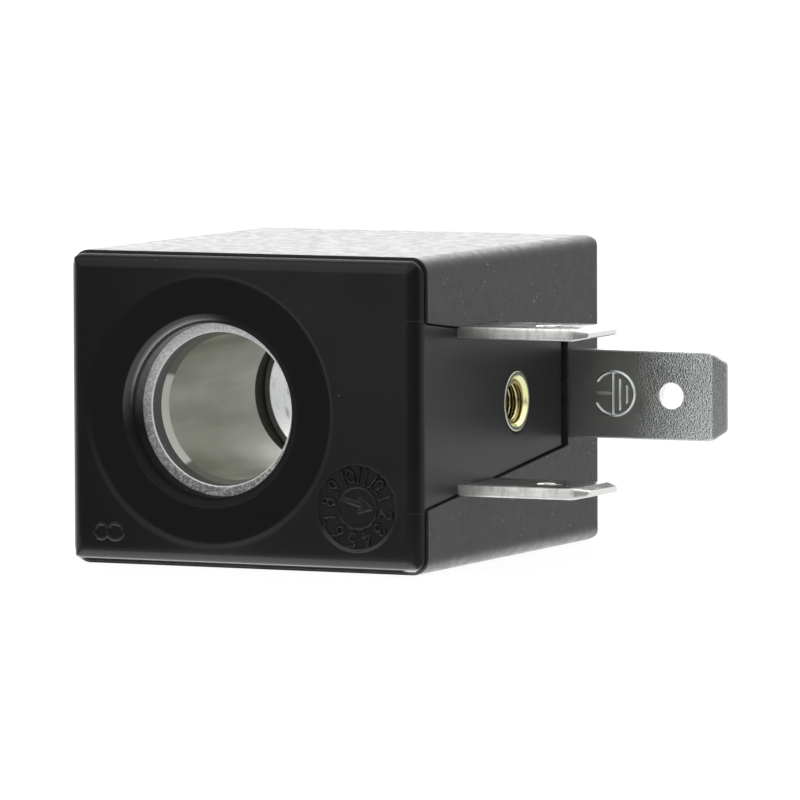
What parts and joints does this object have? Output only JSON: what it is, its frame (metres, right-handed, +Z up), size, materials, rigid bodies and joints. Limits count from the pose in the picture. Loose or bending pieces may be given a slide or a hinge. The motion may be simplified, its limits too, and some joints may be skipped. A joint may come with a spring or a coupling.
{
  "type": "solenoid valve coil",
  "caption": "Rectangular encapsulated solenoid valve coil with a through bore, flat blade terminals on one side and a threaded insert for the plug's screw.",
  "frame": {"origin": "on the bore's axis, halfway between the front and rear faces", "axes": "+X towards the blade terminals, +Y along the bore from the front face to the rear face, +Z up"},
  "size_m": [0.0394, 0.0304, 0.022],
  "materials": {
    "shell_plastic": "fine satin black",
    "front_plastic": "glossy black",
    "resin": "matte black",
    "bobbin_plastic": "off-white, satin",
    "copper": "enamelled copper",
    "tape": "yellow film",
    "yoke_steel": "zinc-plated steel",
    "tinned_metal": "bright tinned",
    "earth_metal": "grey plated steel",
    "brass": "turned brass",
    "sleeving": "woven glass sleeving",
    "solder": "dull solder"
  },
  "bodies": {
    "root": {"outer_shell": "shell_plastic", "front_moulding": "front_plastic", "potting_resin": "resin", "bobbin": "bobbin_plastic", "winding": "copper", "winding_tape": "tape", "lead_anchor_tape": "tape", "front_yoke_plate": "yoke_steel", "yoke_bracket": "yoke_steel", "flux_sleeve": "yoke_steel", "live_blade_upper": "tinned_metal", "live_blade_lower": "tinned_metal", "earth_blade": "earth_metal", "earth_rivet": "earth_metal", "threaded_insert": "brass", "start_lead": "copper", "finish_lead": "copper", "start_sleeving": "sleeving", "finish_sleeving": "sleeving", "solder_joints": "solder"}
  },
  "joints": []
}
